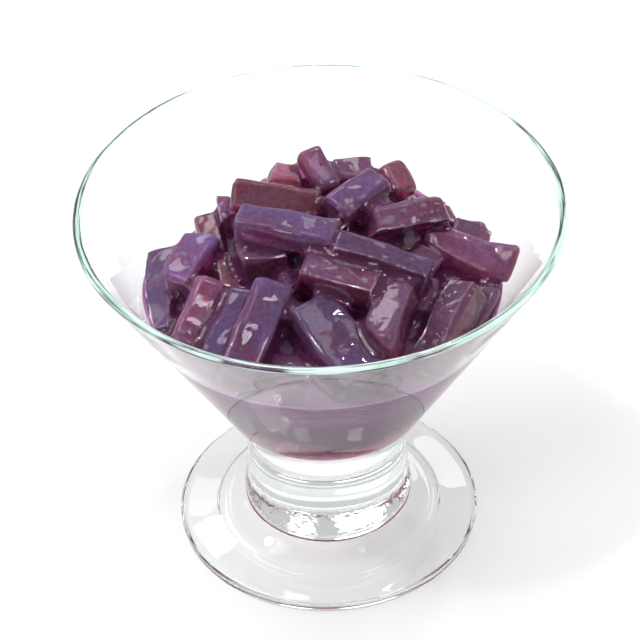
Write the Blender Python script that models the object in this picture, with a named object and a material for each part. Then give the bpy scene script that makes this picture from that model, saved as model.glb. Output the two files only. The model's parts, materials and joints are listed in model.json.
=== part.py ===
"""Jelly strips heaped in a footed glass.

The glass is one lathed solid: a disc foot, a short solid stem and a conical bowl.  A bed of jelly and
syrup fills the bowl up to its contact line on the wall.  The cut strips lie on and in that bed; each
is a bent, soft-cornered bar.  Bars that would run into each other are parted by flat cuts, as wet
strips flatten where they press together, and the bed is cut round all of them.

Lengths in the tables are millimetres, turned to metres when a mesh is made.  +Z is up, the foot
stands on Z = 0 round the axis X = Y = 0, and the front of the glass faces -Y.
"""
import bmesh
import bpy
import numpy as np

MM = 0.001
SIDES = 48                 # flats round the glass and the bed
GAP = 0.3                  # clearance between neighbouring solids
BED_GAP = 0.34             # clearance between the bed and a strip
RIM_R = 60.0               # outer radius of the rim
RIM_Z = 101.6              # height of the rim
WALL = 2.4                 # horizontal thickness of the bowl's wall
CONE_LOW = (22.3, 35.0)    # radius and height where the outside of the bowl turns straight
CONE_HIGH = (60.0, 100.6)  # radius and height where it ends under the rim's bead
SYRUP_Z = 78.0             # contact line of the contents on the wall
BED_DIPS = ((137.0, 22.0, 6.0), (36.0, 14.0, 3.5))  # where that line sags: bearing, spread, depth
BED_STEPS = ((0.86, 0.4), (0.68, 1.8), (0.48, 5.0), (0.26, 8.8), (0.0, 11.2))  # share out, rise
SKEW = 0.12                # how far off square the strips' ends are cut
BED_TOP = (0.0, 13.0)      # plan position of the bed's top
CORNER = 1.3               # chamfer along a strip's edges
END_CORNER = 1.0           # chamfer at its ends
WOBBLE = 0.3               # unevenness of the cut faces

# outside of the glass from the middle of the underside to the rim: radius, height
OUTSIDE = [(0.0, 1.6), (24.0, 1.6), (27.6, 1.0), (29.0, 0.0), (36.6, 0.0), (38.5, 0.8), (39.1, 2.2),
           (38.5, 3.7), (35.0, 4.8), (28.5, 6.5), (23.6, 8.6), (21.5, 9.5), (21.7, 12.0),
           (21.1, 17.0), (20.6, 24.0), (20.4, 29.0), (20.7, 31.6), CONE_LOW, CONE_HIGH,
           (59.7, 101.3), (58.9, RIM_Z), (58.1, 101.3), (57.6, 100.6)]
# inside of the bowl's rounded bottom, from the cone inwards
BOWL_FLOOR = [(34.2, 60.0), (28.2, 49.6), (24.9, 45.2), (20.6, 42.0), (15.0, 40.1), (8.0, 39.2),
              (0.0, 39.0)]

# Strips: name, middle of one end, middle of the other end, width, thickness, roll in degrees about
# the strip's length, sag of its middle.
STRIPS = [
    ("knob", (-3.0, 30.5, 95.5), (3.0, 20.5, 89.5), 8.0, 8.5, 5, 0.0),
    ("tip", (3.4, 5.6, 93.6), (15.7, 17.3, 95.2), 9.0, 8.5, 4, -0.6),
    ("blush", (16.5, 26.5, 93.0), (21.0, 18.0, 89.0), 7.5, 8.0, -15, 0.0),
    ("rear_ledge", (-21.5, 16.5, 92.5), (0.5, 13.0, 90.8), 9.0, 9.0, 38, -0.5),
    ("long", (-20.5, 3.1, 95.2), (4.5, -3.6, 93.5), 9.8, 9.0, 0, 0.5),
    ("shelf", (12.0, 2.8, 90.6), (31.0, 9.6, 88.3), 12.0, 10.0, 36, -0.6),
    ("cross", (2.0, -6.0, 93.0), (25.5, -12.0, 87.5), 9.0, 9.0, 5, -0.8),
    ("jut", (25.0, 7.2, 83.0), (48.5, -1.2, 82.3), 9.5, 9.6, 44, 0.0),
    ("middle", (-5.5, -12.5, 89.4), (13.0, -18.5, 86.9), 11.0, 11.2, -3, 0.4),
    ("shade", (-20.5, -3.5, 88.0), (-8.5, -2.5, 88.0), 8.5, 8.5, 10, 0.0),
    ("violet", (-11.6, -14.7, 90.0), (-22.0, -35.5, 78.5), 10.0, 9.0, -30, -0.8),
    ("slim", (-18.0, -12.5, 85.0), (-27.5, -31.5, 76.0), 8.5, 8.5, 5, 0.0),
    ("ridge", (-26.5, -8.0, 86.0), (-34.5, -22.0, 76.5), 9.0, 8.5, -36, 0.0),
    ("blade", (-3.6, -18.0, 85.8), (9.3, -36.6, 77.6), 14.0, 9.0, 2, 0.5),
    ("plump", (19.0, -14.0, 85.9), (12.2, -33.2, 83.3), 9.5, 9.0, 8, -0.6),
    ("right_front", (35.8, -10.0, 83.4), (23.5, -32.5, 75.5), 9.5, 9.0, 15, -0.4),
    ("right_wall", (41.0, -6.0, 77.0), (34.0, -24.0, 73.5), 7.5, 8.0, 10, 0.0),
    ("block", (-28.0, 7.2, 85.4), (-35.6, -6.4, 80.7), 11.0, 11.5, 10, 0.0),
    ("pale", (-12.5, 29.0, 89.0), (-3.5, 27.0, 88.5), 7.0, 7.5, 0, 0.0),
    ("dusk", (3.0, 26.5, 89.5), (14.5, 27.0, 90.0), 8.0, 8.0, 0, -0.3),
    ("step", (14.0, 19.0, 86.0), (24.0, 18.5, 84.5), 8.0, 8.0, 0, 0.0),
    ("tuck", (32.3, 18.9, 77.7), (43.3, 15.9, 75.7), 8.0, 8.0, 8, 0.0),
    ("inner", (21.5, 3.0, 84.0), (28.0, -0.5, 80.5), 8.0, 8.0, 10, 0.0),
    ("low_front", (-14.0, -30.0, 75.5), (1.0, -32.0, 74.0), 8.5, 8.5, 6, 0.3),
    ("gap", (25.5, -5.0, 80.5), (24.0, -17.0, 78.5), 7.5, 8.0, 0, 0.0),
    ("fold_a", (-24.5, 24.5, 85.0), (-25.5, 15.0, 83.5), 6.5, 8.0, 0, 0.0),
    ("fold_b", (-28.0, 20.0, 82.0), (-26.0, 5.0, 81.0), 8.0, 8.0, 12, 0.0),
    ("fold_c", (-24.5, 4.5, 82.5), (-22.5, -8.5, 80.0), 7.5, 8.0, -10, 0.0),
    ("wall_left", (-38.4, 13.0, 76.6), (-39.5, -17.0, 74.0), 10.0, 8.5, 22, -1.2),
    ("rear_a", (-5.0, 31.5, 83.5), (-12.5, 42.5, 73.0), 8.5, 8.5, 8, 0.0),
    ("rear_b", (3.0, 31.0, 84.0), (9.5, 42.0, 75.0), 9.0, 8.5, -10, 0.0),
    ("rear_c", (-11.5, 27.5, 82.5), (-26.0, 34.0, 71.5), 8.5, 8.5, 12, 0.3),
    ("rear_d", (11.0, 30.5, 81.5), (25.0, 35.5, 72.0), 9.0, 8.5, -18, 0.0),
    ("rear_e", (24.5, 22.5, 79.5), (38.0, 29.0, 68.5), 8.5, 8.5, 10, -0.4),
    ("rear_f", (-37.0, 15.0, 72.5), (-23.0, 31.5, 69.5), 8.5, 8.0, 20, 0.0),
    ("nest", (-3.0, 18.0, 86.0), (8.5, 8.5, 85.5), 8.0, 8.0, 0, 0.0),
    ("under", (-19.0, 9.0, 86.0), (-5.5, 6.0, 86.5), 8.0, 8.0, 5, 0.0),
    ("pocket", (-8.0, -4.0, 83.0), (-5.0, -13.0, 82.0), 8.0, 8.0, 0, 0.0),
]

# jelly shades: base colour and roughness
SHADES = {"violet": (0.20, 0.10, 0.24), "plum": (0.22, 0.08, 0.18), "wine": (0.30, 0.09, 0.16)}
WINE = ("blush", "pale", "step", "fold_b", "fold_c", "rear_ledge", "rear_b", "rear_e")
VIOLET = ("long", "cross", "violet", "slim", "tip", "block", "blade", "rear_c", "wall_left")


def make_material(name, color, roughness, transmission=0.0, alpha=1.0):
    """Return a Principled material."""
    mat = bpy.data.materials.new(name)
    mat.use_nodes = True
    bsdf = mat.node_tree.nodes["Principled BSDF"]
    bsdf.inputs["Base Color"].default_value = (*color, 1.0)
    bsdf.inputs["Roughness"].default_value = roughness
    bsdf.inputs["Transmission Weight"].default_value = transmission
    bsdf.inputs["Alpha"].default_value = alpha
    mat.diffuse_color = (*color, alpha)
    return mat


def add_object(name, bm, mat, smooth_angle=None):
    """Turn a bmesh in millimetres into a named object in metres."""
    bmesh.ops.scale(bm, vec=(MM, MM, MM), verts=bm.verts)
    bmesh.ops.recalc_face_normals(bm, faces=bm.faces)
    mesh = bpy.data.meshes.new(name)
    bm.to_mesh(mesh)
    bm.free()
    mesh.materials.append(mat)
    if smooth_angle is not None:
        mesh.shade_smooth()
        mesh.set_sharp_from_angle(angle=np.radians(smooth_angle))
    obj = bpy.data.objects.new(name, mesh)
    bpy.context.scene.collection.objects.link(obj)
    return obj


def ring_points(radius, height, center=(0.0, 0.0)):
    """Return the corners of one level ring."""
    turn = np.arange(SIDES) * 2.0 * np.pi / SIDES
    return [(center[0] + radius * np.cos(a), center[1] + radius * np.sin(a), height) for a in turn]


def loft(bm, rings):
    """Join rings of equal length into a closed skin; a ring of one point closes to a pole."""
    levels = [[bm.verts.new(p) for p in ring] for ring in rings]
    for low, high in zip(levels, levels[1:]):
        count = max(len(low), len(high))
        for i in range(count):
            j = (i + 1) % count
            corners = [low[i % len(low)], low[j % len(low)], high[j % len(high)], high[i % len(high)]]
            face = []
            for vert in corners:
                if vert not in face:
                    face.append(vert)
            bm.faces.new(face)


def lathe_rings(profile):
    """Turn a profile of (radius, height) into rings, with a single point on the axis."""
    return [[(0.0, 0.0, z)] if r == 0.0 else ring_points(r, z) for r, z in profile]


def cone_radius(height):
    """Return the inner radius of the bowl's straight wall at a height."""
    share = (height - CONE_LOW[1]) / (CONE_HIGH[1] - CONE_LOW[1])
    return CONE_LOW[0] + share * (CONE_HIGH[0] - CONE_LOW[0]) - WALL


def build_glass(mat):
    """Make the footed glass."""
    bm = bmesh.new()
    loft(bm, lathe_rings(OUTSIDE + BOWL_FLOOR))
    return add_object("glass", bm, mat, 35)


def strip_axes(start, end, roll):
    """Return a strip's unit length, side and up directions."""
    along = (end - start) / np.linalg.norm(end - start)
    side = np.cross((0.0, 0.0, 1.0), along)
    side /= np.linalg.norm(side)
    up = np.cross(along, side)
    turn = np.radians(roll)
    return along, side * np.cos(turn) + up * np.sin(turn), up * np.cos(turn) - side * np.sin(turn)


def section(width, thick, chamfer):
    """Return the eight corners of a strip's chamfered cross-section."""
    w, t = width / 2.0, thick / 2.0
    return [(w, -t + chamfer), (w, t - chamfer), (w - chamfer, t), (-w + chamfer, t),
            (-w, t - chamfer), (-w, -t + chamfer), (-w + chamfer, -t), (w - chamfer, -t)]


def build_strip(row, rng):
    """Make one strip as a bmesh, before it is parted from its neighbours."""
    _, start, end, width, thick, roll, sag = row
    start, end = np.array(start), np.array(end)
    along, side, up = strip_axes(start, end, roll)
    inset = END_CORNER / np.linalg.norm(end - start)
    skews = rng.uniform(-SKEW, SKEW, (2, 2))
    rings = []
    for share, shrink in ((0.0, END_CORNER), (inset, 0.0), (0.5, 0.0), (1.0 - inset, 0.0),
                          (1.0, END_CORNER)):
        middle = start + (end - start) * share - up * sag * 4.0 * share * (1.0 - share)
        corners = section(width - 2.0 * shrink, thick - 2.0 * shrink, CORNER - 0.3 * shrink)
        lean = skews[0] if share < 0.5 else skews[1] if share > 0.5 else np.zeros(2)
        rings.append([middle + side * (s + rng.uniform(-WOBBLE, WOBBLE))
                      + up * (u + rng.uniform(-WOBBLE, WOBBLE)) + along * (lean @ (s, u))
                      for s, u in corners])
    bm = bmesh.new()
    loft(bm, rings)
    bm.verts.ensure_lookup_table()
    bm.faces.new(bm.verts[:8])
    bm.faces.new(bm.verts[-8:])
    bmesh.ops.recalc_face_normals(bm, faces=bm.faces)
    return bm


def points_of(bm):
    """Return a bmesh's corners as an array."""
    return np.array([v.co for v in bm.verts])


def cut_plane(bm, point, normal):
    """Take away what lies beyond a plane and close the cut."""
    geometry = bm.verts[:] + bm.edges[:] + bm.faces[:]
    cut = bmesh.ops.bisect_plane(bm, geom=geometry, dist=1e-4, plane_co=point, plane_no=normal,
                                 clear_outer=True)
    edges = [e for e in cut["geom_cut"] if isinstance(e, bmesh.types.BMEdge)]
    if edges:
        bmesh.ops.contextual_create(bm, geom=edges)
    bmesh.ops.recalc_face_normals(bm, faces=bm.faces)


def parting(a, b, axes_a, axes_b):
    """Return the direction along which two strips overlap least, and that overlap."""
    directions = list(axes_a) + list(axes_b)
    directions += [np.cross(p, q) for p in axes_a for q in axes_b]
    directions += [axes_a[1] + axes_a[2], axes_a[1] - axes_a[2], axes_b[1] + axes_b[2],
                   axes_b[1] - axes_b[2]]
    best = None
    for direction in directions:
        size = np.linalg.norm(direction)
        if size < 0.2:
            continue
        for normal in (direction / size, -direction / size):
            depth = (a @ normal).max() - (b @ normal).min()
            if best is None or depth < best[0]:
                best = (depth, normal)
    return best


def press_apart(strips, axes):
    """Part every pair of strips that would touch with two parallel cuts."""
    names = list(strips)
    pairs = []
    for i, first in enumerate(names):
        for second in names[i + 1:]:
            depth, _ = parting(points_of(strips[first]), points_of(strips[second]), axes[first],
                               axes[second])
            if depth > -GAP:
                pairs.append((depth, first, second))
    for _, first, second in sorted(pairs):
        a, b = points_of(strips[first]), points_of(strips[second])
        depth, normal = parting(a, b, axes[first], axes[second])
        if depth <= -GAP:
            continue
        share = 0.5 + 0.25 * float(np.sign(round(normal[2], 1)))
        level = (b @ normal).min() + depth * share
        cut_plane(strips[first], normal * (level - GAP / 2.0), normal)
        cut_plane(strips[second], normal * (level + GAP / 2.0), -normal)


def trim_to_glass(bm):
    """Cut a strip back to the flats of the bowl's inner wall."""
    slope = np.arctan2(CONE_HIGH[0] - CONE_LOW[0], CONE_HIGH[1] - CONE_LOW[1])
    apothem = np.cos(np.pi / SIDES)
    for k in range(SIDES):
        turn = (k + 0.5) * 2.0 * np.pi / SIDES
        outward = np.array((np.cos(turn), np.sin(turn), 0.0))
        normal = outward * np.cos(slope * apothem) - np.array((0.0, 0.0, np.sin(slope * apothem)))
        wall = outward * cone_radius(80.0) * apothem + np.array((0.0, 0.0, 80.0))
        limit = wall @ normal - GAP
        if (points_of(bm) @ normal).max() > limit:
            cut_plane(bm, normal * limit, normal)


def grown(bm, distance):
    """Return a copy of a strip with every face moved outwards."""
    copy = bm.copy()
    copy.verts.ensure_lookup_table()
    moves = []
    for vert in copy.verts:
        normals = np.array([f.normal for f in vert.link_faces])
        move = np.linalg.lstsq(normals, np.full(len(normals), distance), rcond=0.05)[0]
        moves.append(move * min(1.0, 4.0 * distance / max(np.linalg.norm(move), 1e-9)))
    for vert, move in zip(copy.verts, moves):
        vert.co += type(vert.co)(move)
    return copy


def syrup_line(turn):
    """Return the height of the contents on the wall at a bearing."""
    sag = sum(depth * np.exp(-((turn - bearing) / spread) ** 2) for bearing, spread, depth in BED_DIPS)
    return SYRUP_Z - sag


def bed_rings():
    """Return the rings of the bed's skin, from its bottom up the wall to its top."""
    rings = lathe_rings([(r - GAP if r else 0.0, z + GAP) for r, z in reversed(BOWL_FLOOR)])
    turns = np.arange(SIDES) * 360.0 / SIDES
    edge = np.array([(np.cos(np.radians(t)) * (cone_radius(syrup_line(t)) - 1.1 * GAP),
                      np.sin(np.radians(t)) * (cone_radius(syrup_line(t)) - 1.1 * GAP),
                      syrup_line(t)) for t in turns])
    rings.append(list(edge))
    top = np.array((*BED_TOP, SYRUP_Z))
    for share, rise in BED_STEPS:
        ring = top + (edge - top) * share + np.array((0.0, 0.0, rise))
        rings.append(list(ring) if share else [tuple(ring[0])])
    return rings


def largest_piece(mesh):
    """Keep only the largest connected part of a mesh."""
    bm = bmesh.new()
    bm.from_mesh(mesh)
    left, best = set(bm.verts), []
    while left:
        stack, part = [left.pop()], []
        while stack:
            vert = stack.pop()
            part.append(vert)
            for edge in vert.link_edges:
                other = edge.other_vert(vert)
                if other in left:
                    left.discard(other)
                    stack.append(other)
        best = max(best, part, key=len)
    keep = set(best)
    bmesh.ops.delete(bm, geom=[v for v in bm.verts if v not in keep], context="VERTS")
    bm.to_mesh(mesh)
    bm.free()


def volume_of(mesh):
    """Return the volume that a mesh encloses."""
    bm = bmesh.new()
    bm.from_mesh(mesh)
    volume = bm.calc_volume()
    bm.free()
    return volume


def subtract(target, cutter, solver):
    """Return the target's mesh less the cutter, and the mesh's volume."""
    modifier = target.modifiers.new("cut", "BOOLEAN")
    modifier.operation = "DIFFERENCE"
    modifier.solver = solver
    modifier.object = cutter
    depsgraph = bpy.context.evaluated_depsgraph_get()
    mesh = bpy.data.meshes.new_from_object(target.evaluated_get(depsgraph))
    target.modifiers.clear()
    return mesh, volume_of(mesh)


def build_bed(mat, strips):
    """Make the bed and cut it round every strip."""
    bm = bmesh.new()
    loft(bm, bed_rings())
    bed = add_object("bed", bm, mat)
    for name, strip in strips.items():
        cutter = add_object("cutter_" + name, grown(strip, BED_GAP), mat)
        least = volume_of(bed.data) - 1.1 * volume_of(cutter.data)
        mesh, volume = subtract(bed, cutter, "EXACT")
        if volume < least:
            mesh, volume = subtract(bed, cutter, "MANIFOLD")
        bed.data = mesh
        bpy.data.objects.remove(cutter, do_unlink=True)
    largest_piece(bed.data)
    bed.data.name = "bed"
    return bed


def build_all():
    """Build every sub-part."""
    for obj in list(bpy.data.objects):
        bpy.data.objects.remove(obj, do_unlink=True)
    glass_mat = make_material("glass", (0.93, 0.97, 0.95), 0.02, 1.0, 0.35)
    bed_mat = make_material("bed", (0.18, 0.07, 0.15), 0.15)
    shades = {name: make_material(name, color, 0.18) for name, color in SHADES.items()}
    rng = np.random.default_rng(7)
    strips, axes = {}, {}
    for row in STRIPS:
        name = "strip_" + row[0]
        strips[name] = build_strip(row, rng)
        axes[name] = strip_axes(np.array(row[1]), np.array(row[2]), row[5])
        trim_to_glass(strips[name])
    press_apart(strips, axes)
    build_glass(glass_mat)
    build_bed(bed_mat, strips)
    for name, strip in strips.items():
        plain = name[len("strip_"):]
        shade = "wine" if plain in WINE else "violet" if plain in VIOLET else "plum"
        add_object(name, strip, shades[shade], 40)


build_all()
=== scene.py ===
"""Jelly strips heaped in a footed glass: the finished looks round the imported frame.

The glass is turned from a profile by Geometry Nodes, each strip is a soft copy of its solid,
the syrup bed reaches just into the wall of the bowl, a film of syrup fills the creases between
the strips, and small beads of syrup and air bubbles lie over them.  Lengths in the tables are
millimetres, turned to metres when a mesh is made.
"""

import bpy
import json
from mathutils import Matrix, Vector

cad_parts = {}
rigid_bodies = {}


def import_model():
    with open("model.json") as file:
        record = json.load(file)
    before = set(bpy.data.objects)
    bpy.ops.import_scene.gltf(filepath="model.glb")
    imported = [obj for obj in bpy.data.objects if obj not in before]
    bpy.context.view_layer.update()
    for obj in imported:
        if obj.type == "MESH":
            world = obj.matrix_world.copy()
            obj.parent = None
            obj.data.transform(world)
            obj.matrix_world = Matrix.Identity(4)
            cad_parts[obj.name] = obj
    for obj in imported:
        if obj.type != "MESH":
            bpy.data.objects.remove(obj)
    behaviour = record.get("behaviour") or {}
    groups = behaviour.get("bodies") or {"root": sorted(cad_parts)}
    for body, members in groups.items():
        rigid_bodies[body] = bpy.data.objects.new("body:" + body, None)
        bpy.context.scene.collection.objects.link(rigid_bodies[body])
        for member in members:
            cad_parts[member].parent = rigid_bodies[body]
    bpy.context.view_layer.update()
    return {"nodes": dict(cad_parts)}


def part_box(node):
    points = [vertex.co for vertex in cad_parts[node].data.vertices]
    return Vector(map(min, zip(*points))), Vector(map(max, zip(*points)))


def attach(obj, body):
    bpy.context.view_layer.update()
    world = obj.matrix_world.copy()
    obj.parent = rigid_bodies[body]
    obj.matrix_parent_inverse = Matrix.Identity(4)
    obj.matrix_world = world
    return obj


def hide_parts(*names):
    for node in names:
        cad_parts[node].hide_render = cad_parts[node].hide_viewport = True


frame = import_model()        # nodes of the imported part

import json
import math

import bmesh
import bpy
import numpy as np
from bpy.props import FloatProperty, FloatVectorProperty, IntProperty, PointerProperty
from bpy.types import Operator, Panel, PropertyGroup
from mathutils import Matrix, Vector, noise

bl_info = {
    "name": "Jelly Strips in a Footed Glass",
    "version": (1, 0, 0),
    "blender": (4, 5, 0),
    "location": "View3D > Sidebar > Jelly Glass",
    "description": "Builds a footed dessert glass filled with cut jelly strips in syrup",
    "category": "Object",
}

MM = 0.001
BODY = "root"
GLASS_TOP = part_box("glass")[1]
WHITE = (1.0, 1.0, 1.0, 1.0)

# Glass: radius and height in millimetres, from the middle of the underside out, up and in.
# A third value of 1 keeps the line straight up to the next point.
FOOT_AND_STEM = [
    (0.0, 1.6, 1), (24.0, 1.6, 0), (27.6, 1.0, 0), (29.0, 0.0, 1), (36.6, 0.0, 0),
    (38.5, 0.8, 0), (39.1, 2.2, 0), (38.5, 3.7, 0), (35.0, 4.8, 0), (28.5, 6.5, 0),
    (23.6, 8.6, 0), (21.5, 9.5, 0), (21.7, 12.0, 0), (21.1, 17.0, 0), (20.6, 24.0, 0),
    (20.4, 29.0, 0), (20.7, 31.6, 0)]
BOWL_OUTSIDE = [(22.3, 35.0, 1), (60.0, 100.6, 0), (59.7, 101.3, 0), (58.9, 101.6, 0),
                (58.1, 101.3, 0)]
BOWL_INSIDE = [(57.6, 100.6, 1), (34.2, 60.0, 0), (28.2, 49.6, 0), (24.9, 45.2, 0),
               (20.6, 42.0, 0), (15.0, 40.1, 0), (8.0, 39.2, 0), (0.0, 39.0, 0)]
PROFILE_STEP = 0.7       # longest piece of the smooth profile
STRAIGHT_PIECES = 16     # rows along a straight wall, closest at its ends
RIM_BAND = (1.6, 0.8)    # how far under the top the rim's tint, streaks and painted glow begin and are full
STREAK_FINENESS = 50.0   # how much finer the rim's streaks are across it than round it
CRINKLED = (9.2, 10.5, 12.0, 21.0)       # heights where crinkles begin, are full, fade, end
LET_THROUGH = (0.945, 0.96, 0.955)       # light that goes through the glass to the floor

# Contents: contact line on the wall, where it dips, and the dome above it.
SYRUP_Z = 78.0
BED_DIPS = ((137.0, 22.0, 6.0), (36.0, 14.0, 3.5))      # bearing, spread, depth
BED_RISE = ((1.0, 0.0), (0.86, 0.4), (0.68, 1.8), (0.48, 5.0), (0.26, 8.8), (0.0, 11.2))
BED_TOP = (0.0, 13.0)    # plan position of the dome's top
BED_INTO_WALL = 0.1
BED_INTO_FLOOR = 0.05
BED_LAYERS = (           # share of the height, colour
    (0.0, (0.44, 0.13, 0.23)), (0.14, (0.26, 0.08, 0.15)), (0.34, (0.085, 0.016, 0.056)),
    (0.60, (0.100, 0.018, 0.078)), (0.82, (0.19, 0.055, 0.170)), (0.93, (0.10, 0.022, 0.08)),
    (1.0, (0.17, 0.075, 0.18)))
CLING = 0.9              # how far the syrup creeps up the wall of the glass
CLING_REACH = 1.2        # how soon that fades away from the wall

# Lamps: name, azimuth, elevation, width and height in degrees as seen from the glass, radiance.
SOFTBOXES = (
    ("rear", 112.0, 47.0, 24.0, 13.0, 5.2),
    ("rear_right", 72.0, 40.0, 12.0, 10.0, 2.6),
    ("left", 186.0, 52.0, 26.0, 20.0, 5.5),
    ("front_right", -42.0, 44.0, 16.0, 13.0, 11.0),
    ("front_left", -131.0, 48.0, 15.0, 13.0, 6.5),
    ("overhead", 0.0, 86.0, 22.0, 22.0, 2.5),
    ("spot", -160.0, 60.0, 4.0, 4.0, 70.0),
    ("small_spot", 55.0, 66.0, 3.0, 3.0, 90.0),
)
LAMP_DISTANCE = 1.3
LIT_POINT = Vector((0.0, 0.0, 0.08))
ROOM_IN_FRONT = 0.16     # brightness of the room where it is darkest
FLOOR_REACH = 0.75       # metres from the middle to the edge of the floor
FLOOR_GAP = 0.0001       # metres under the foot, so that the two never coincide
CAMERA_AIM = 0.045       # metres above the floor
CAMERA_TURNS = (-1.761, -0.104, 1.236)   # roll, yaw and pitch in degrees

# The bright colour is mixed in by a random cloud and by painted sky light on faces turned up.
SHADE_COLORS = {                     # deep, bright and painted edge-light colours of each jelly
    "violet": ((0.430, 0.150, 0.310), (0.370, 0.230, 0.560), (0.80, 0.72, 0.96)),
    "plum": ((0.460, 0.135, 0.245), (0.420, 0.205, 0.420), (0.82, 0.68, 0.88)),
    "wine": ((0.490, 0.120, 0.180), (0.530, 0.205, 0.320), (0.85, 0.66, 0.78)),
}
JELLY_RIPPLE = 210.0     # fineness of the wet skin's ripple
JELLY_RADIUS = (1.0, 0.4, 0.7)           # how far red, green and blue light spreads
JELLY_IOR = 1.42
BUMP_HEIGHT = 0.001      # metres
EDGE_REACH = 0.0006      # metres over which a thin edge is told from a body, for the painted edge light
PAINTED_SKY_LIGHT = 0.22         # painted sky light: how much brighter the colour of faces turned to the sky is drawn
WAVES = ((105.0, 1.0), (330.0, 0.13))    # fineness and share of a cut face's waves
INWARD = 0.25            # share of the waviness that only sinks in, clear of neighbours
SOFT_STRIPS = ("strip_knob", "strip_violet", "strip_plump", "strip_slim", "strip_long",
               "strip_blade", "strip_blush", "strip_low_front", "strip_gap", "strip_rear_b",
               "strip_rear_d")       # strips with well rounded corners
FILM_ROUNDS = (16, 12)   # smoothing of the syrup film at each step and at its end
FILM_BRIGHTER = 1.25     # how much brighter its colour is where the cloud is bright and where painted sky light falls
STREWN = (               # name, seed, smallest, largest, flatness, cluster edge, colour
    ("syrup_beads", 7, 0.12, 0.6, 0.6, 0.0, (0.66, 0.34, 0.56)),
    ("air_bubbles", 3, 0.3, 0.9, 0.85, 0.69, (0.9, 0.8, 0.88)),
)
STREWN_UP = 0.15         # how level a face has to be to carry beads
TONE_AND_PAINTED_LIGHT = {                        # strips drawn paler or darker than their shade: partly own tone, partly painted light and shade
    "strip_pale": 2.4, "strip_knob": 1.1, "strip_block": 1.4, "strip_jut": 1.25,
    "strip_ridge": 1.5, "strip_rear_ledge": 0.8, "strip_cross": 0.75, "strip_shelf": 1.05,
    "strip_shade": 0.9, "strip_blade": 0.8, "strip_right_front": 0.85, "strip_fold_a": 1.4,
    "strip_under": 0.9, "strip_nest": 0.95, "strip_slim": 0.9}


def get(name):
    """Return one of this add-on's setting groups."""
    return getattr(bpy.context.scene, name)


# ---------------------------------------------------------------- meshes

def link_object(name, mesh):
    """Put a mesh into the scene under a name."""
    obj = bpy.data.objects.new(name, mesh)
    bpy.context.scene.collection.objects.link(obj)
    return obj


def evaluated_mesh(obj, name):
    """Return what an object's modifiers make of it as a plain mesh, and clear the modifiers."""
    deps = bpy.context.evaluated_depsgraph_get()
    mesh = bpy.data.meshes.new_from_object(obj.evaluated_get(deps), depsgraph=deps)
    mesh.name = name
    obj.modifiers.clear()
    return mesh


def even_out(obj, voxel, rounds):
    """Add modifiers that give a mesh even faces and smooth it."""
    fine = obj.modifiers.new("fine", "REMESH")
    fine.mode, fine.voxel_size = "VOXEL", voxel
    smooth_out(obj, rounds)


def smooth_out(obj, rounds):
    """Add a modifier that smooths a mesh."""
    smooth = obj.modifiers.new("smooth", "SMOOTH")
    smooth.factor, smooth.iterations = 0.5, rounds


def dress(obj, slot, *nodes):
    """Let a finished piece ride on the body and stand for its CAD nodes; its slot is not used.
    """
    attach(obj, BODY)
    if nodes:
        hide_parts(*nodes)


def merged_mesh(cad, name):
    """Return a copy of a CAD node's mesh with its loose triangles joined."""
    bm = bmesh.new()
    bm.from_mesh(cad.data)
    bmesh.ops.remove_doubles(bm, verts=bm.verts, dist=2e-6)
    mesh = bpy.data.meshes.new(name)
    bm.to_mesh(mesh)
    bm.free()
    return mesh


def spline(points, step):
    """Return a smooth line through points; a point flagged 1 starts a straight piece."""
    pts = [np.array(p[:2], float) for p in points]
    line = []
    for i, (a, b) in enumerate(zip(pts, pts[1:])):
        if points[i][2]:
            shares = (1.0 - np.cos(np.linspace(0.0, math.pi, STRAIGHT_PIECES + 1))) / 2.0
            line += [a + (b - a) * t for t in shares[:-1]]
            continue
        pieces = max(2, int(math.ceil(np.linalg.norm(b - a) / step)))
        before = pts[i - 1] if i and not points[i - 1][2] else a
        after = pts[i + 2] if i + 2 < len(pts) and not points[i + 1][2] else b
        tangent_a, tangent_b = (b - before) / 2.0, (after - a) / 2.0
        if i and points[i - 1][2]:
            tangent_a = along(pts[i] - pts[i - 1], b - a)
        if i + 2 < len(pts) and points[i + 1][2]:
            tangent_b = along(pts[i + 2] - b, b - a)
        for k in range(pieces):
            t = k / pieces
            line.append((2 * t**3 - 3 * t**2 + 1) * a + (t**3 - 2 * t**2 + t) * tangent_a
                        + (3 * t**2 - 2 * t**3) * b + (t**3 - t**2) * tangent_b)
    line.append(pts[-1])
    return line


def along(direction, chord):
    """Return a tangent in a direction, as long as a chord."""
    return direction / np.linalg.norm(direction) * np.linalg.norm(chord)


# ---------------------------------------------------------------- node trees

def feed(tree, node, inputs):
    """Give a node's inputs, by name or index, values or links."""
    for key, value in inputs.items():
        if isinstance(value, bpy.types.NodeSocket):
            tree.links.new(value, node.inputs[key])
        else:
            node.inputs[key].default_value = value


def add_node(tree, kind, inputs=None, **settings):
    """Add a node, set its properties and feed its inputs."""
    made = tree.nodes.new(kind)
    for key, value in settings.items():
        setattr(made, key, value)
    feed(tree, made, inputs or {})
    return made


def calc(tree, operation, *terms):
    """Return what a maths node makes of values or sockets."""
    return add_node(tree, "ShaderNodeMath", dict(enumerate(terms)),
                    operation=operation).outputs[0]


def stretch(tree, value, low, high, to_low=0.0, to_high=1.0):
    """Return a value mapped from one range to another and held within it."""
    ranges = {"Value": value, "From Min": low, "From Max": high, "To Min": to_low,
              "To Max": to_high}
    return add_node(tree, "ShaderNodeMapRange", ranges).outputs["Result"]


def noise_at(tree, place, **values):
    """Return noise read at a place."""
    return add_node(tree, "ShaderNodeTexNoise", {"Vector": place, **values}).outputs[0]


def blend(tree, share, first, second):
    """Return a blend of two colours."""
    colors = {0: share, 6: first, 7: second}
    return add_node(tree, "ShaderNodeMix", colors, data_type="RGBA").outputs[2]


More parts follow.
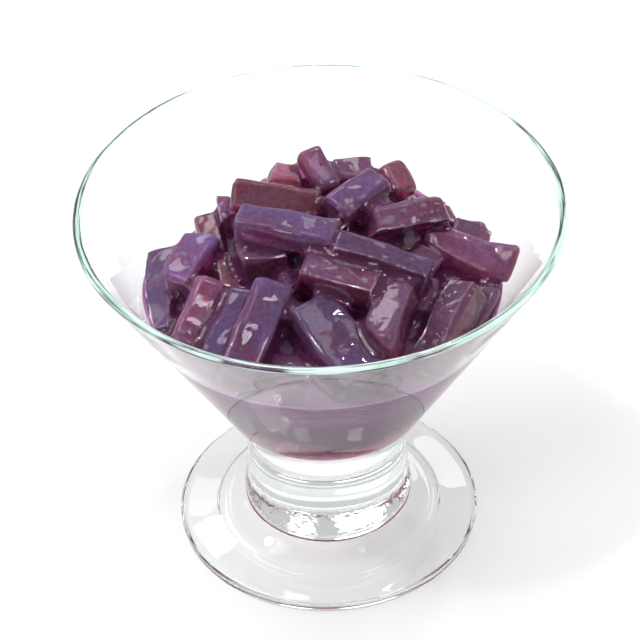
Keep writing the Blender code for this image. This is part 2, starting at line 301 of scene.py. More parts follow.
def scaled(tree, vector, factor):
    """Return a vector or colour times a factor."""
    return add_node(tree, "ShaderNodeVectorMath", {0: vector, "Scale": factor},
                    operation="SCALE").outputs[0]


def object_place(tree):
    """Return the Object coordinates."""
    return add_node(tree, "ShaderNodeTexCoord").outputs["Object"]


def axes(tree, vector):
    """Return a vector's X, Y and Z."""
    return add_node(tree, "ShaderNodeSeparateXYZ", {0: vector}).outputs


def sockets(tree, inputs, outputs):
    """Make a tree's named inputs and outputs."""
    for name, kind, value in inputs:
        made = tree.interface.new_socket(name, in_out="INPUT", socket_type=kind)
        if value is not None:
            made.default_value = value
    for name, kind in outputs:
        tree.interface.new_socket(name, in_out="OUTPUT", socket_type=kind)


def shared_group(name, make):
    """Return a node group by name, made the first time it is asked for."""
    return bpy.data.node_groups.get(name) or make()


def add_group(tree, name, make):
    """Add a shared node group to a tree."""
    return add_node(tree, "ShaderNodeGroup", node_tree=shared_group(name, make))


def finish_tree(tree, source, made):
    """End a geometry tree: real instances, smooth shading, material, output."""
    real = add_node(tree, "GeometryNodeRealizeInstances", {"Geometry": made})
    smooth = add_node(tree, "GeometryNodeSetShadeSmooth", {"Geometry": real.outputs[0]})
    paint = add_node(tree, "GeometryNodeSetMaterial", {
        "Geometry": smooth.outputs[0], "Material": source.outputs["Material"]})
    add_node(tree, "NodeGroupOutput", {0: paint.outputs[0]})


def lathe_tree():
    """Geometry tree that turns a profile line round the Z axis."""
    tree = bpy.data.node_groups.new("Turned Shape", "GeometryNodeTree")
    sockets(tree, (("Profile", "NodeSocketGeometry", None), ("Sides", "NodeSocketInt", 192),
                   ("Seam", "NodeSocketFloat", 1e-6), ("Material", "NodeSocketMaterial", None)),
            (("Shape", "NodeSocketGeometry"),))
    source = add_node(tree, "NodeGroupInput")
    given = source.outputs
    size = add_node(tree, "GeometryNodeAttributeDomainSize", {"Geometry": given["Profile"]},
                    component="MESH")
    rows = size.outputs["Point Count"]
    grid = add_node(tree, "GeometryNodeMeshGrid", {
        "Vertices X": calc(tree, "ADD", given["Sides"], 1.0), "Vertices Y": rows})
    index = add_node(tree, "GeometryNodeInputIndex").outputs[0]
    column = calc(tree, "FLOOR", calc(tree, "DIVIDE", index, rows))
    position = add_node(tree, "GeometryNodeInputPosition").outputs[0]
    sample = add_node(tree, "GeometryNodeSampleIndex", data_type="FLOAT_VECTOR", domain="POINT")
    feed(tree, sample, {"Geometry": given["Profile"], "Value": position,
                        "Index": calc(tree, "MODULO", index, rows)})
    angle = calc(tree, "MULTIPLY", calc(tree, "DIVIDE", column, given["Sides"]), math.tau)
    turn = add_node(tree, "ShaderNodeVectorRotate", {
        "Vector": sample.outputs["Value"], "Angle": angle}, rotation_type="Z_AXIS")
    place = add_node(tree, "GeometryNodeSetPosition", {
        "Geometry": grid.outputs["Mesh"], "Position": turn.outputs[0]})
    merge = add_node(tree, "GeometryNodeMergeByDistance", {
        "Geometry": place.outputs[0], "Distance": given["Seam"]})
    finish_tree(tree, source, merge.outputs[0])
    return tree


def bead_tree():
    """Geometry tree that strews flattened beads over the upward faces of a surface."""
    tree = bpy.data.node_groups.new("Strewn Beads", "GeometryNodeTree")
    sockets(tree, (("Surface", "NodeSocketGeometry", None), ("Density", "NodeSocketFloat", 1e4),
                   ("Seed", "NodeSocketInt", 1), ("Smallest", "NodeSocketFloat", 0.0002),
                   ("Largest", "NodeSocketFloat", 0.0006), ("Flatness", "NodeSocketFloat", 0.6),
                   ("Up", "NodeSocketFloat", 0.2), ("Cluster Scale", "NodeSocketFloat", 90.0),
                   ("Cluster Edge", "NodeSocketFloat", 0.0),
                   ("Material", "NodeSocketMaterial", None)),
            (("Beads", "NodeSocketGeometry"),))
    source = add_node(tree, "NodeGroupInput")
    given = source.outputs

    def above(value, limit):
        return add_node(tree, "FunctionNodeCompare", {0: value, 1: limit}, data_type="FLOAT",
                        operation="GREATER_THAN").outputs[0]

    normal = add_node(tree, "GeometryNodeInputNormal").outputs[0]
    patch = add_node(tree, "ShaderNodeTexNoise", {
        "Scale": given["Cluster Scale"], "Detail": 0.0})
    within = above(patch.outputs[0], given["Cluster Edge"])
    strew = add_node(tree, "GeometryNodeDistributePointsOnFaces", {
        "Mesh": given["Surface"], "Selection": above(axes(tree, normal)["Z"], given["Up"]),
        "Density": calc(tree, "MULTIPLY", given["Density"], within), "Seed": given["Seed"]},
        distribute_method="RANDOM")
    bead = add_node(tree, "GeometryNodeMeshIcoSphere", {"Radius": 1.0, "Subdivisions": 3})
    flat = add_node(tree, "ShaderNodeCombineXYZ", {0: 1.0, 1: 1.0, 2: given["Flatness"]})
    flatten = add_node(tree, "GeometryNodeTransform", {
        "Geometry": bead.outputs["Mesh"], "Scale": flat.outputs[0]})
    chance = add_node(tree, "FunctionNodeRandomValue", {"Seed": given["Seed"]},
                      data_type="FLOAT").outputs[1]
    size = stretch(tree, calc(tree, "POWER", chance, 3.0), 0.0, 1.0, given["Smallest"],
                   given["Largest"])
    put = add_node(tree, "GeometryNodeInstanceOnPoints", {
        "Points": strew.outputs["Points"], "Instance": flatten.outputs[0],
        "Rotation": strew.outputs["Rotation"], "Scale": size})
    finish_tree(tree, source, put.outputs[0])
    return tree


def run_tree(mesh, tree, name, values):
    """Run a geometry tree on a mesh and return the object it makes as a plain mesh."""
    obj = link_object(name, mesh)
    modifier = obj.modifiers.new(tree.name, "NODES")
    modifier.node_group = tree
    ids = {s.name: s.identifier for s in tree.interface.items_tree if s.in_out == "INPUT"}
    for key, value in values.items():
        modifier[ids[key]] = value
    obj.data = evaluated_mesh(obj, name)
    return obj


# ---------------------------------------------------------------- materials

def new_material(name):
    """Return a material, its tree and its Principled shader."""
    mat = bpy.data.materials.new(name)
    mat.use_nodes = True
    tree = mat.node_tree
    return mat, tree, tree.nodes["Principled BSDF"]


def rgba(color):
    """Return a colour with full alpha."""
    return (*color, 1.0)


def cloud_group():
    """Shader group: cloudy jelly colour with painted sky light, edges painted paler as if lit
    through, broken painted glints and a wet skin's ripple.
    """
    tree = bpy.data.node_groups.new("Jelly Cloud", "ShaderNodeTree")
    sockets(tree, (("Deep", "NodeSocketColor", (0.1, 0.03, 0.1, 1.0)),
                   ("Bright", "NodeSocketColor", (0.2, 0.08, 0.2, 1.0)),
                   ("Edge", "NodeSocketColor", (0.5, 0.3, 0.5, 1.0)),
                   ("Painted Edge Light Amount", "NodeSocketFloat", 0.5),
                   ("Lightness", "NodeSocketFloat", 1.0),
                   ("Cloud Scale", "NodeSocketFloat", 70.0),
                   ("Ripple Scale", "NodeSocketFloat", 95.0)),
            (("Color", "NodeSocketColor"), ("Ripple", "NodeSocketFloat"),
             ("Glint", "NodeSocketColor")))
    given = add_node(tree, "NodeGroupInput").outputs
    place = object_place(tree)
    cloud = noise_at(tree, place, Scale=given["Cloud Scale"], Detail=3.0, Roughness=0.55,
                     Distortion=0.4)
    # Painted sky light: faces turned to the sky are drawn brighter.
    normal = add_node(tree, "ShaderNodeNewGeometry").outputs["Normal"]
    painted_sky_light = calc(tree, "MULTIPLY", axes(tree, normal)["Z"], PAINTED_SKY_LIGHT)
    body = blend(tree, stretch(tree, calc(tree, "ADD", cloud, painted_sky_light), 0.45, 0.78),
                 given["Deep"], given["Bright"])
    # Painted edge light: thin edges, found by inside occlusion, are drawn paler as if light
    # shone through them.
    inside = add_node(tree, "ShaderNodeAmbientOcclusion", {"Distance": EDGE_REACH}, inside=True,
                      only_local=True, samples=8)
    edge = calc(tree, "MULTIPLY", stretch(tree, inside.outputs["AO"], 0.90, 0.62),
                given["Painted Edge Light Amount"])
    grain = stretch(tree, noise_at(tree, place, Scale=850.0, Detail=2.0), 0.3, 0.7, 0.82, 1.18)
    # The lightness input scales the colour: partly the strip's own tone, partly painted light
    # and shade.
    color = scaled(tree, blend(tree, edge, body, given["Edge"]),
                   calc(tree, "MULTIPLY", grain, given["Lightness"]))
    # Painted glints: broken spots of light along the thin edges, sent to emission.
    spots = noise_at(tree, place, Scale=230.0, Detail=1.0)
    broken = stretch(tree, spots, 0.46, 0.60, 0.05, 1.0)
    glint = calc(tree, "MULTIPLY", calc(tree, "POWER", edge, 1.4), broken)
    ripple = noise_at(tree, place, Scale=given["Ripple Scale"], Detail=2.0, Roughness=0.4,
                      Distortion=0.9)
    add_node(tree, "NodeGroupOutput", {"Color": color, "Ripple": ripple,
                                       "Glint": scaled(tree, given["Edge"], glint)})
    return tree


def layers_group():
    """Shader group: the bed's colour in marbled bands by height, from its floor to its contact
    line.
    """
    tree = bpy.data.node_groups.new("Bed Layers", "ShaderNodeTree")
    sockets(tree, (("Marbling", "NodeSocketFloat", 0.035),), (("Color", "NodeSocketColor"),))
    given = add_node(tree, "NodeGroupInput").outputs
    place = object_place(tree)
    flattened = add_node(tree, "ShaderNodeVectorMath", {0: place, 1: (1.0, 1.0, 2.2)},
                         operation="MULTIPLY").outputs[0]
    marble = noise_at(tree, flattened, Scale=42.0, Detail=4.0, Roughness=0.6, Distortion=1.5)
    height = calc(tree, "MULTIPLY_ADD", calc(tree, "SUBTRACT", marble, 0.5), given["Marbling"],
                  axes(tree, place)["Z"])
    level = stretch(tree, height, BOWL_INSIDE[-1][1] * MM, SYRUP_Z * MM)
    ramp = add_node(tree, "ShaderNodeValToRGB", {0: level})
    stops = ramp.color_ramp.elements
    while len(stops) < len(BED_LAYERS):
        stops.new(0.5)
    for stop, (share, color) in zip(stops, BED_LAYERS):
        stop.position, stop.color = share, rgba(color)
    add_node(tree, "NodeGroupOutput", {"Color": ramp.outputs["Color"]})
    return tree


def jelly_material(name, colors, glow_depth, roughness, edge=0.8, bump=0.17, clear=0.75,
                   lightness=None, layered=False):
    """Return a translucent jelly: cloudy subsurface colour with painted sky light and painted
    edge light under a wet, rippled skin, and painted glints that glow in emission.

    A layered one takes its colour from the bed's layers and only the ripple from the cloud.
    """
    mat, tree, shader = new_material(name)
    cloud = add_group(tree, "Jelly Cloud", cloud_group)
    feed(tree, cloud, {"Painted Edge Light Amount": edge, "Ripple Scale": JELLY_RIPPLE,
                       **dict(zip(("Deep", "Bright", "Edge"), map(rgba, colors)))})
    if lightness:
        shade = add_node(tree, "ShaderNodeAttribute", attribute_name=lightness)
        feed(tree, cloud, {"Lightness": shade.outputs["Fac"]})
    body = add_group(tree, "Bed Layers", layers_group) if layered else cloud
    height = add_node(tree, "ShaderNodeBump", {
        "Strength": bump, "Distance": BUMP_HEIGHT, "Height": cloud.outputs["Ripple"]})
    # Emission shows the painted glints; the jelly is no lamp.
    feed(tree, shader, {
        "Base Color": body.outputs["Color"], "Roughness": roughness, "IOR": JELLY_IOR,
        "Normal": height.outputs["Normal"], "Subsurface Weight": 1.0,
        "Subsurface Radius": JELLY_RADIUS, "Subsurface Scale": glow_depth,
        "Transmission Weight": clear, "Emission Color": cloud.outputs["Glint"],
        "Emission Strength": 1.0})
    mat.diffuse_color = rgba(colors[1])
    return mat


def glass_skin(tree, place):
    """Return the bump of pressed glass: faint swirls, and crinkles low on the stem."""
    swirl = add_node(tree, "ShaderNodeBump", {
        "Strength": 0.06, "Distance": BUMP_HEIGHT,
        "Height": noise_at(tree, place, Scale=55.0, Detail=1.0, Roughness=0.3)})
    begin, full, fade, end = (z * MM for z in CRINKLED)
    height = axes(tree, place)["Z"]
    band = calc(tree, "MULTIPLY", stretch(tree, height, end, fade),
                stretch(tree, height, begin, full))
    crinkle = noise_at(tree, place, Scale=260.0, Detail=1.0, Distortion=1.2)
    return add_node(tree, "ShaderNodeBump", {
        "Strength": 0.35, "Distance": BUMP_HEIGHT, "Normal": swirl.outputs["Normal"],
        "Height": calc(tree, "MULTIPLY", crinkle, band)}).outputs["Normal"]


def rim_streaks(tree, place):
    """Return noise drawn out into streaks that run round the rim."""
    level = add_node(tree, "ShaderNodeVectorMath", {0: place, 1: (1.0, 1.0, 0.0)},
                     operation="MULTIPLY").outputs[0]
    radius = add_node(tree, "ShaderNodeVectorMath", {0: level},
                      operation="LENGTH").outputs["Value"]
    parts = axes(tree, place)
    across = calc(tree, "MULTIPLY", calc(tree, "ADD", radius, parts["Z"]), STREAK_FINENESS)
    drawn = add_node(tree, "ShaderNodeCombineXYZ", {0: parts["X"], 1: parts["Y"], 2: across})
    return noise_at(tree, drawn.outputs[0], Scale=60.0, Detail=2.0)


def glass_material(color, density, rim_tint_and_glow):
    """Return clear pressed glass that lets light through to the floor, green at the rim, with a
    painted glow in streaks along the rim.
    """
    mat, tree, shader = new_material("clear_glass")
    place = object_place(tree)
    begin, full = (GLASS_TOP[2] - depth * MM for depth in RIM_BAND)
    rim = stretch(tree, axes(tree, place)["Z"], begin, full)
    streaks = rim_streaks(tree, place)
    # Painted glow: streaks of light along the rim, sent to emission though the glass is no
    # lamp.
    painted_rim_glow = calc(tree, "MULTIPLY", stretch(tree, streaks, 0.42, 0.58, 0.02, 1.05), rim)
    grooved = add_node(tree, "ShaderNodeBump", {
        "Strength": 0.5, "Distance": 0.6 * BUMP_HEIGHT, "Normal": glass_skin(tree, place),
        "Height": calc(tree, "MULTIPLY", streaks, rim)})
    feed(tree, shader, {
        "Base Color": blend(tree, rim, WHITE, rgba(rim_tint_and_glow)), "Roughness": 0.0,
        "IOR": 1.5, "Transmission Weight": 1.0, "Normal": grooved.outputs["Normal"],
        "Emission Color": scaled(tree, rim_tint_and_glow, painted_rim_glow), "Emission Strength": 1.0})
    clear = add_node(tree, "ShaderNodeBsdfTransparent", {"Color": rgba(LET_THROUGH)})
    path = add_node(tree, "ShaderNodeLightPath").outputs
    easy = calc(tree, "MAXIMUM", path["Is Shadow Ray"], path["Is Diffuse Ray"])
    mix = add_node(tree, "ShaderNodeMixShader", {
        "Fac": easy, 1: shader.outputs[0], 2: clear.outputs[0]})
    tint = add_node(tree, "ShaderNodeVolumeAbsorption", {
        "Color": rgba(color), "Density": density})
    feed(tree, tree.nodes["Material Output"], {
        "Surface": mix.outputs[0], "Volume": tint.outputs[0]})
    mat.diffuse_color = (0.93, 0.97, 0.95, 0.35)
    return mat


def mottled(tree, color, dimmest, **noise_values):
    """Return a colour that wavers a little, down to a share of itself."""
    speck = noise_at(tree, object_place(tree), **noise_values)
    return blend(tree, speck, rgba([dimmest * c for c in color]), rgba(color))


def floor_material(color):
    """Return a plain pale floor with the faintest mottling."""
    mat, tree, shader = new_material("pale_floor")
    feed(tree, shader, {"Base Color": mottled(tree, color, 0.985, Scale=12.0, Detail=4.0),
                        "Roughness": 0.9, "Specular IOR Level": 0.1})
    return mat


def drop_material(name, color):
    """Return clear tinted liquid for small drops and bubbles."""
    mat, tree, shader = new_material(name)
    feed(tree, shader, {"Base Color": mottled(tree, color, 0.8, Scale=400.0),
                        "Roughness": 0.02, "IOR": 1.4, "Transmission Weight": 0.9})
    mat.diffuse_color = rgba(color)
    return mat


# ---------------------------------------------------------------- settings

class GlassSettings(PropertyGroup):
    sides: IntProperty(name="Sides", description="Flats round the turned glass",
                       default=192, min=24, max=360)
    tint: FloatVectorProperty(name="Tint", description="Colour of the glass in the thick",
                              subtype="COLOR", size=3, default=(0.62, 0.93, 0.84), min=0, max=1)
    density: FloatProperty(name="Tint Density", description="Strength of the tint per metre",
                           default=2.2, min=0.0)
    # The rim colour tints the glass there and colours its painted glow.
    rim: FloatVectorProperty(name="Rim Tint", description="Colour seen along the rim",
                             subtype="COLOR", size=3, default=(0.62, 0.87, 0.76), min=0, max=1)


class JellySettings(PropertyGroup):
    voxel: FloatProperty(name="Mesh Size", description="Edge length of the strips' mesh",
                         default=0.00042, subtype="DISTANCE", unit="LENGTH", precision=5)
    smoothing: IntProperty(name="Smoothing", description="Rounds of smoothing on a strip",
                           default=4, min=0)
    softening: IntProperty(name="Softening", description="Rounds of smoothing on a soft strip",
                           default=24, min=0)
    waviness: FloatProperty(name="Waviness", description="Unevenness of the cut faces",
                            default=0.00100, subtype="DISTANCE", unit="LENGTH", precision=5)
    depth: FloatProperty(name="Glow Depth", description="How far light spreads in the jelly",
                         default=0.0040, subtype="DISTANCE", unit="LENGTH", precision=4)
    wetness: FloatProperty(name="Skin Roughness", description="Roughness of the wet skin",
                           default=0.03, min=0.0, max=1.0)


class SyrupSettings(PropertyGroup):
    voxel: FloatProperty(name="Mesh Size", description="Edge length of the film's mesh",
                         default=0.0005, subtype="DISTANCE", unit="LENGTH", precision=5)
    fillet: FloatProperty(name="Fillet", description="Radius of syrup in the creases",
                          default=0.0016, subtype="DISTANCE", unit="LENGTH", precision=5)
    recess: FloatProperty(name="Recess", description="Depth of the film below the open faces",
                          default=0.00020, subtype="DISTANCE", unit="LENGTH", precision=5)
    kept: FloatProperty(name="Faces Kept", description="Share of the film's faces that is kept",
                        default=0.58, min=0.1, max=1.0, subtype="FACTOR")
    deep: FloatVectorProperty(name="Deep Colour", description="Syrup where it lies thick",
                              subtype="COLOR", size=3, default=(0.350, 0.095, 0.265), min=0,
                              max=1)


class BeadSettings(PropertyGroup):
    beads: FloatProperty(name="Beads", description="Beads of syrup on a square metre of jelly",
                         default=12000.0, min=0.0)
    bubbles: FloatProperty(name="Bubbles",
                           description="Air bubbles on a square metre of a cluster",
                           default=260000.0, min=0.0)


class StageSettings(PropertyGroup):
    floor: FloatVectorProperty(name="Floor", description="Colour of the floor",
                               subtype="COLOR", size=3, default=(0.96, 0.96, 0.963), min=0,
                               max=1)
    room: FloatProperty(name="Room", description="Brightness of the room round the glass",
                        default=0.60, min=0.0)
    lens: FloatProperty(name="Lens", description="Focal length", default=160.0, unit="CAMERA")
    distance: FloatProperty(name="Camera Distance", description="From the middle of the glass",
                            default=0.7255, subtype="DISTANCE", unit="LENGTH")
    elevation: FloatProperty(name="Elevation", description="Camera above the horizon",
                             default=math.radians(41.76), subtype="ANGLE")


# ---------------------------------------------------------------- pieces

class JELLYGLASS_OT_glass(Operator):
    """Turn the footed glass from its profile"""
    bl_idname = "jelly_glass.glass"
    bl_label = "Glass"

    def execute(self, context):
        opts = get("jelly_glass_glass")
        line = spline(FOOT_AND_STEM + BOWL_OUTSIDE + BOWL_INSIDE, PROFILE_STEP)
        mesh = bpy.data.meshes.new("profile")
        mesh.from_pydata([(r * MM, 0.0, z * MM) for r, z in line],
                         [(i, i + 1) for i in range(len(line) - 1)], [])
        mat = glass_material(opts.tint, opts.density, opts.rim)
        obj = run_tree(mesh, shared_group("Turned Shape", lathe_tree), "turned_glass",
                       {"Sides": opts.sides, "Material": mat})
        dress(obj, "glass", "glass")
        return {"FINISHED"}


def bowl_inside(step):
    """Points of the bowl's inside from the middle of its floor out and up, in millimetres."""
    return [tuple(p) for p in spline(BOWL_INSIDE, step)][::-1]


def syrup_line(turn):
    """Height of the contact line at a bearing in degrees."""
    return SYRUP_Z - sum(depth * math.exp(-((turn - at) / spread) ** 2)
                         for at, spread, depth in BED_DIPS)


def bed_mesh(sides=192, wall_steps=16, top_steps=44):
    """Return the mass of jelly and syrup that fills the bowl up to its contact line."""
    inside = bowl_inside(PROFILE_STEP)
    radii, heights = zip(*inside)
    turns = [math.tau * k / sides for k in range(sides)]
    lines = [syrup_line(math.degrees(a)) for a in turns]
    foot = BOWL_INSIDE[1][1]
    low = [(r + BED_INTO_WALL, z - BED_INTO_FLOOR) for r, z in inside if 0.0 < r and z < foot]
    rings = [[(r * math.cos(a), r * math.sin(a), z) for a in turns] for r, z in low]
    for i in range(1, wall_steps + 1):
        ring = []
        for a, line in zip(turns, lines):
            z = foot + (line - foot) * i / wall_steps
            r = float(np.interp(z, heights, radii)) + BED_INTO_WALL
            ring.append((r * math.cos(a), r * math.sin(a), z))
        rings.append(ring)
    edge = rings[-1]
    rise_x, rise_z = zip(*sorted(BED_RISE))
    for share in np.linspace(1.0, 0.0, top_steps)[1:-1]:
        ring = []
        for x, y, z in edge:
            away = (1.0 - share) * math.hypot(x, y)
            fall = CLING * (1.0 - math.exp(-away / CLING_REACH))
            rise = float(np.interp(share, rise_x, rise_z)) - fall
            ring.append((BED_TOP[0] + (x - BED_TOP[0]) * share,
                         BED_TOP[1] + (y - BED_TOP[1]) * share,
                         SYRUP_Z + (z - SYRUP_Z) * share + rise))
        rings.append(ring)
    verts = [(0.0, 0.0, inside[0][1] - BED_INTO_FLOOR)] + [p for ring in rings for p in ring]
    verts.append((*BED_TOP, SYRUP_Z + rise_z[0] - CLING))
    last = len(verts) - 1
    faces = [(0, 1 + (k + 1) % sides, 1 + k) for k in range(sides)]
    for j in range(len(rings) - 1):
        under, over = 1 + j * sides, 1 + (j + 1) * sides
        faces += [(under + k, under + (k + 1) % sides, over + (k + 1) % sides, over + k)
                  for k in range(sides)]
    under = 1 + (len(rings) - 1) * sides
    faces += [(under + k, under + (k + 1) % sides, last) for k in range(sides)]
    mesh = bpy.data.meshes.new("jelly_bed")
    mesh.from_pydata([tuple(c * MM for c in v) for v in verts], [], faces)
    mesh.shade_smooth()
    return mesh


class JELLYGLASS_OT_bed(Operator):
    """Fill the bowl with the mass of jelly and syrup up to its contact line"""
    bl_idname = "jelly_glass.bed"
    bl_label = "Bed of Jelly and Syrup"

    def execute(self, context):
        obj = link_object("jelly_bed", bed_mesh())
        colors = [color for _, color in BED_LAYERS[2:5]]
        mat = jelly_material("bed_jelly", colors, glow_depth=0.004, roughness=0.12, edge=0.0,
                             clear=0.0, layered=True)
        obj.data.materials.append(mat)
        dress(obj, "bed", "bed")
        return {"FINISHED"}


def soften(mesh, name, voxel, rounds, waviness):
    """Return a strip's mesh with even faces, rounded edges and slightly wavy sides."""
    obj = link_object(name, mesh)
    even_out(obj, voxel, rounds)
    obj.data = evaluated_mesh(obj, name)
    count = len(obj.data.vertices)
    places, normals = np.empty(count * 3), np.empty(count * 3)
    obj.data.vertices.foreach_get("co", places)
    obj.data.vertices.foreach_get("normal", normals)
    places, normals = places.reshape(-1, 3), normals.reshape(-1, 3)
    swell = np.array([sum(share * noise.noise(Vector(p) * scale) for scale, share in WAVES)
                      for p in places])
    places += normals * (waviness * (swell - INWARD))[:, None]
    obj.data.vertices.foreach_set("co", places.ravel())
    obj.data.update()
    obj.data.shade_smooth()
    return obj


class JELLYGLASS_OT_strips(Operator):
    """Make every cut jelly strip from its solid"""
    bl_idname = "jelly_glass.strips"
    bl_label = "Jelly Strips"

    def execute(self, context):
        opts = get("jelly_glass_jelly")
        mats = {slot: jelly_material(f"{slot}_jelly", colors, opts.depth, opts.wetness,
                                     lightness="lightness")
                for slot, colors in SHADE_COLORS.items()}
        for node, cad in frame["nodes"].items():
            if node.startswith("strip_"):
                slot = cad.data.materials[0].name.split(".")[0]
                rounds = opts.softening if node in SOFT_STRIPS else opts.smoothing
                obj = soften(merged_mesh(cad, node), node.replace("strip", "jelly"), opts.voxel,
                             rounds, opts.waviness)
                obj.data.materials.clear()
                obj.data.materials.append(mats[slot])
                # Lightness per strip: partly its own tone, partly painted light and shade for
                # how it is lit.
                shade = obj.data.attributes.new("lightness", "FLOAT", "POINT")
                shade.data.foreach_set("value", [TONE_AND_PAINTED_LIGHT.get(node, 1.0)] * len(shade.data))
                dress(obj, slot, node)
        return {"FINISHED"}


def heap_objects():
    """Return the dressed bed and strips."""
    return [o for o in bpy.context.scene.objects if o.name.startswith("jelly_")]


def joined_mesh(objs, name):
    """Return one mesh holding several objects' meshes."""
    bm = bmesh.new()
    for obj in objs:
        bm.from_mesh(obj.data)
    mesh = bpy.data.meshes.new(name)
    bm.to_mesh(mesh)
    bm.free()
    return mesh


class JELLYGLASS_OT_syrup(Operator):
    """Fill the creases between the strips with a film of syrup"""
    bl_idname = "jelly_glass.syrup"
    bl_label = "Syrup Film"

    def execute(self, context):
        opts = get("jelly_glass_syrup")
        obj = link_object("syrup_film", joined_mesh(heap_objects(), "syrup_film"))
        for grow in (opts.fillet, -opts.fillet - opts.recess):
            even_out(obj, opts.voxel, FILM_ROUNDS[0])
            shift = obj.modifiers.new("shift", "DISPLACE")
            shift.strength, shift.mid_level = grow, 0.0
        smooth_out(obj, FILM_ROUNDS[1])
        thin = obj.modifiers.new("thin", "DECIMATE")
        thin.ratio = opts.kept
        obj.data = evaluated_mesh(obj, "syrup_film")
        obj.data.materials.clear()
        bright = tuple(min(1.0, c * FILM_BRIGHTER) for c in opts.deep)
        mat = jelly_material("dark_syrup", (opts.deep, bright, bright), glow_depth=0.003,
                             roughness=0.03, edge=0.0, bump=0.03, clear=0.85)
        obj.data.materials.append(mat)
        obj.data.shade_smooth()
        dress(obj, "bed")
        return {"FINISHED"}


class JELLYGLASS_OT_beads(Operator):
    """Strew beads of syrup and clusters of air bubbles over the strips"""
    bl_idname = "jelly_glass.beads"
    bl_label = "Syrup Beads and Bubbles"

    def execute(self, context):
        opts = get("jelly_glass_beads")
        tree = shared_group("Strewn Beads", bead_tree)
        strips = [o for o in heap_objects() if o.name != "jelly_bed"]
        for density, (name, seed, small, large, flat, edge, color) in zip(
                (opts.beads, opts.bubbles), STREWN):
            obj = run_tree(joined_mesh(strips, name), tree, name,
                           {"Density": density, "Seed": seed, "Smallest": small * MM,
                            "Largest": large * MM, "Flatness": flat, "Up": STREWN_UP,
                            "Cluster Edge": edge, "Material": drop_material(name, color)})
            dress(obj, "bed")
        return {"FINISHED"}


# ---------------------------------------------------------------- stage

def turned(first, second, angle):
    """Return two directions turned through an angle in their plane."""
    return (first * math.cos(angle) + second * math.sin(angle),
            second * math.cos(angle) - first * math.sin(angle))


def camera_matrix(opts):
    """Return where the camera stands and which way it looks."""
    roll, yaw, pitch = map(math.radians, CAMERA_TURNS)
    back = Vector((0.0, -math.cos(opts.elevation), math.sin(opts.elevation)))
    ahead = -back
    side = ahead.cross(Vector((0.0, 0.0, 1.0))).normalized()
    above = side.cross(ahead)
    side, above = turned(side, above, roll)
    ahead, side = turned(ahead, side, yaw)
    ahead, above = turned(ahead, above, pitch)
    matrix = Matrix((side, above, -ahead)).transposed().to_4x4()
    matrix.translation = back * opts.distance + Vector((0.0, 0.0, CAMERA_AIM))
    return matrix


def make_world(room):
    """White to the camera and at the horizon; in reflections a dim room, darker in front."""
    world = bpy.data.worlds.new("studio")
    bpy.context.scene.world = world
    world.use_nodes = True
    tree = world.node_tree
    parts = axes(tree, add_node(tree, "ShaderNodeTexCoord").outputs["Generated"])
    dim = stretch(tree, parts["Y"], -0.75, -0.25, ROOM_IN_FRONT, room)
    seen = add_node(tree, "ShaderNodeLightPath").outputs["Is Camera Ray"]
    white = calc(tree, "MAXIMUM", seen, stretch(tree, parts["Z"], 0.03, 0.01))
    pick = add_node(tree, "ShaderNodeMix", {0: white, 2: dim, 3: 1.0}, data_type="FLOAT")
    feed(tree, tree.nodes["Background"], {"Color": WHITE, "Strength": pick.outputs[0]})


def softbox(name, azimuth, elevation, wide, tall, radiance):
    """Add a lamp on the sky round the glass, as many degrees wide and tall as it looks."""
    turn, lift = math.radians(azimuth), math.radians(elevation)
    away = Vector((math.cos(turn) * math.cos(lift), math.sin(turn) * math.cos(lift),
                   math.sin(lift)))
    size = [2.0 * LAMP_DISTANCE * math.tan(math.radians(angle) / 2.0) for angle in (wide, tall)]
    lamp = bpy.data.lights.new(name, "AREA")
    lamp.shape, lamp.size, lamp.size_y = "RECTANGLE", *size
    lamp.energy = radiance * math.pi * size[0] * size[1]
    obj = bpy.data.objects.new(name, lamp)
    bpy.context.scene.collection.objects.link(obj)
    obj.location = place = away * LAMP_DISTANCE + LIT_POINT
    obj.rotation_euler = (LIT_POINT - place).to_track_quat("-Z", "Y").to_euler()
    obj.visible_camera = False


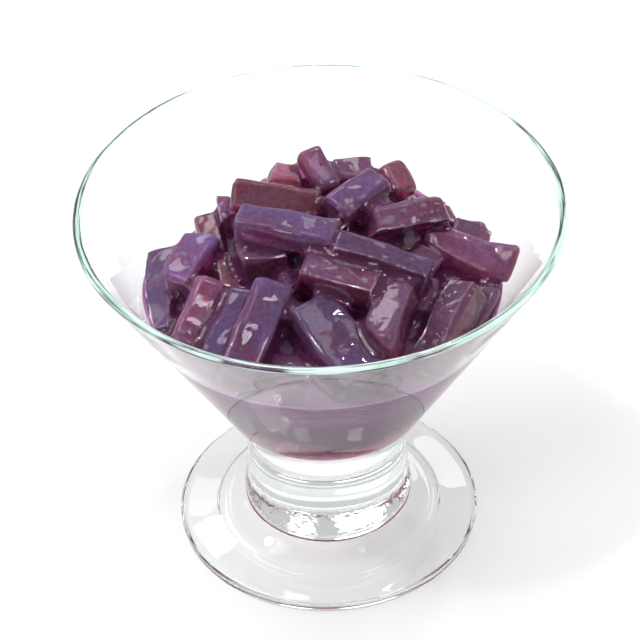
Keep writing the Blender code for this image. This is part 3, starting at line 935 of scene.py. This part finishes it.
class JELLYGLASS_OT_stage(Operator):
    """Make the floor, the light and the camera"""
    bl_idname = "jelly_glass.stage"
    bl_label = "Stage"

    def execute(self, context):
        opts = get("jelly_glass_stage")
        scene = context.scene
        corners = ((-1, -1), (1, -1), (1, 1), (-1, 1))
        mesh = bpy.data.meshes.new("floor")
        mesh.from_pydata([(x * FLOOR_REACH, y * FLOOR_REACH, -FLOOR_GAP) for x, y in corners],
                         [], [(0, 1, 2, 3)])
        mesh.materials.append(floor_material(opts.floor))
        link_object("floor", mesh)
        for row in SOFTBOXES:
            softbox(*row)
        make_world(opts.room)
        lens = bpy.data.cameras.new("camera")
        lens.lens, lens.sensor_width = opts.lens, 36.0
        lens.clip_start, lens.clip_end = 0.01, 20.0
        camera = bpy.data.objects.new("camera", lens)
        scene.collection.objects.link(camera)
        camera.matrix_world = camera_matrix(opts)
        scene.camera = camera
        scene.view_settings.view_transform = "Standard"
        scene.cycles.max_bounces = 40
        scene.cycles.transmission_bounces = 40
        scene.cycles.glossy_bounces = 8
        scene.cycles.transparent_max_bounces = 16
        scene.cycles.use_denoising = True
        return {"FINISHED"}


# ---------------------------------------------------------------- add-on

OPERATORS = (JELLYGLASS_OT_stage, JELLYGLASS_OT_glass, JELLYGLASS_OT_bed, JELLYGLASS_OT_strips,
             JELLYGLASS_OT_syrup, JELLYGLASS_OT_beads)
SETTINGS = {"jelly_glass_glass": GlassSettings, "jelly_glass_jelly": JellySettings,
            "jelly_glass_syrup": SyrupSettings, "jelly_glass_beads": BeadSettings,
            "jelly_glass_stage": StageSettings}


class JELLYGLASS_PT_panel(Panel):
    """Lists the pieces and the settings of the jelly glass"""
    bl_idname = "JELLYGLASS_PT_panel"
    bl_label = "Jelly Glass"
    bl_space_type = "VIEW_3D"
    bl_region_type = "UI"
    bl_category = "Jelly Glass"

    def draw(self, context):
        for operator in OPERATORS:
            self.layout.operator(operator.bl_idname)
        for name, group in SETTINGS.items():
            box = self.layout.box()
            for prop in group.__annotations__:
                box.prop(getattr(context.scene, name), prop)


CLASSES = (*SETTINGS.values(), *OPERATORS, JELLYGLASS_PT_panel)


def register():
    for cls in CLASSES:
        bpy.utils.register_class(cls)
    for name, group in SETTINGS.items():
        setattr(bpy.types.Scene, name, PointerProperty(type=group))


def unregister():
    for name in SETTINGS:
        delattr(bpy.types.Scene, name)
    for cls in reversed(CLASSES):
        bpy.utils.unregister_class(cls)


def main():
    """Build every piece in order."""
    register()
    for operator in OPERATORS:
        area, name = operator.bl_idname.split(".")
        getattr(getattr(bpy.ops, area), name)()


if __name__ == "__main__":
    main()
